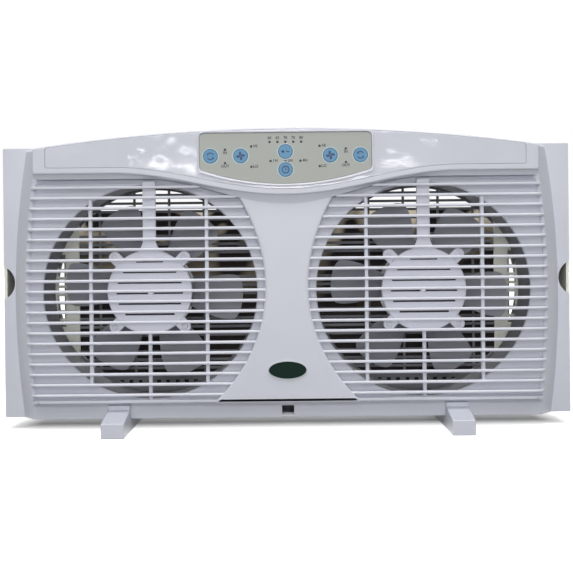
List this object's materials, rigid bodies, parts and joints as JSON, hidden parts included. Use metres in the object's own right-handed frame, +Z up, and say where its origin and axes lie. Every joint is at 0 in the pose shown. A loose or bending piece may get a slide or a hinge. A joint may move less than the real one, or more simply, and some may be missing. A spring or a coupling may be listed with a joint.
{
  "type": "window fan",
  "caption": "Free-standing window fan with round ducts side by side, slatted front grille, arched control pod with keys, sliding side extenders and clip-on feet.",
  "frame": {"origin": "on the surface it stands on, under the middle of the object's width and of the feet's depth", "axes": "+Z up, -Y towards the room (the front with the slatted grille and the keys), +X to the right as seen from the front"},
  "size_m": [0.64, 0.16, 0.3336],
  "materials": {
    "body_plastic": "satin moulded white plastic with a lavender cast",
    "gloss_trim": "glossy moulded white plastic",
    "shade_plastic": "matte grey moulded plastic",
    "blade_plastic": "satin grey moulded plastic",
    "panel_film": "fine-grained grey keypad film",
    "key_blue": "satin light blue key",
    "badge_green": "glossy dark green badge, bare",
    "board_green": "solder-resist green board",
    "dark_plastic": "black moulded plastic",
    "steel": "zinc-plated steel",
    "bronze": "sintered bronze"
  },
  "bodies": {
    "frame": {"front_housing": "body_plastic", "rear_housing": "body_plastic", "front_grille": "body_plastic", "control_pod": "body_plastic", "fascia_trim": "gloss_trim", "control_panel": "panel_film", "badge": "badge_green", "control_board": "board_green", "power_board": "board_green", "transformer": "steel", "cord_gland": "dark_plastic", "duct_ring_left": "shade_plastic", "rear_grille_left": "shade_plastic", "motor_cover_left": "body_plastic", "motor_left": "steel", "motor_bearing_left": "bronze", "run_capacitor_left": "dark_plastic", "wire_loom_left": "dark_plastic", "foot_left": "body_plastic", "motor_screw_left_1": "steel", "motor_screw_left_2": "steel", "motor_screw_left_3": "steel", "motor_screw_left_4": "steel", "duct_ring_right": "shade_plastic", "rear_grille_right": "shade_plastic", "motor_cover_right": "body_plastic", "motor_right": "steel", "motor_bearing_right": "bronze", "run_capacitor_right": "dark_plastic", "wire_loom_right": "dark_plastic", "foot_right": "body_plastic", "motor_screw_right_1": "steel", "motor_screw_right_2": "steel", "motor_screw_right_3": "steel", "motor_screw_right_4": "steel", "housing_screw_1": "steel", "housing_screw_2": "steel", "housing_screw_3": "steel", "housing_screw_4": "steel", "housing_screw_5": "steel", "housing_screw_6": "steel"},
    "rotor_left": {"rotor_shaft_left": "steel", "impeller_left": "blade_plastic", "hub_nut_left": "dark_plastic"},
    "extender_left": {"extender_left": "shade_plastic"},
    "rotor_right": {"rotor_shaft_right": "steel", "impeller_right": "blade_plastic", "hub_nut_right": "dark_plastic"},
    "extender_right": {"extender_right": "shade_plastic"},
    "key_exchange_left": {"key_exchange_left": "key_blue"},
    "key_speed_left": {"key_speed_left": "key_blue"},
    "key_set": {"key_set": "key_blue"},
    "key_timer": {"key_timer": "key_blue"},
    "key_speed_right": {"key_speed_right": "key_blue"},
    "key_exchange_right": {"key_exchange_right": "key_blue"}
  },
  "joints": [
    {"name": "rotor_left_spin", "type": "hinge", "parent": "frame", "child": "rotor_left", "pos_m": [-0.152, 0, 0.155], "axis": [0, 1, 0], "continuous": true},
    {"name": "rotor_right_spin", "type": "hinge", "parent": "frame", "child": "rotor_right", "pos_m": [0.152, 0, 0.155], "axis": [0, 1, 0], "continuous": true},
    {"name": "extender_left_slide", "type": "slide", "parent": "frame", "child": "extender_left", "axis": [-1, 0, 0], "range_m": [0, 0.048]},
    {"name": "extender_right_slide", "type": "slide", "parent": "frame", "child": "extender_right", "axis": [1, 0, 0], "range_m": [0, 0.048]},
    {"name": "key_exchange_left_press", "type": "slide", "parent": "frame", "child": "key_exchange_left", "axis": [0, 1, 0], "range_m": [0, 0.0008], "stiffness_N_per_m": 1500},
    {"name": "key_speed_left_press", "type": "slide", "parent": "frame", "child": "key_speed_left", "axis": [0, 1, 0], "range_m": [0, 0.0008], "stiffness_N_per_m": 1500},
    {"name": "key_set_press", "type": "slide", "parent": "frame", "child": "key_set", "axis": [0, 1, 0], "range_m": [0, 0.0008], "stiffness_N_per_m": 1500},
    {"name": "key_timer_press", "type": "slide", "parent": "frame", "child": "key_timer", "axis": [0, 1, 0], "range_m": [0, 0.0008], "stiffness_N_per_m": 1500},
    {"name": "key_speed_right_press", "type": "slide", "parent": "frame", "child": "key_speed_right", "axis": [0, 1, 0], "range_m": [0, 0.0008], "stiffness_N_per_m": 1500},
    {"name": "key_exchange_right_press", "type": "slide", "parent": "frame", "child": "key_exchange_right", "axis": [0, 1, 0], "range_m": [0, 0.0008], "stiffness_N_per_m": 1500}
  ]
}
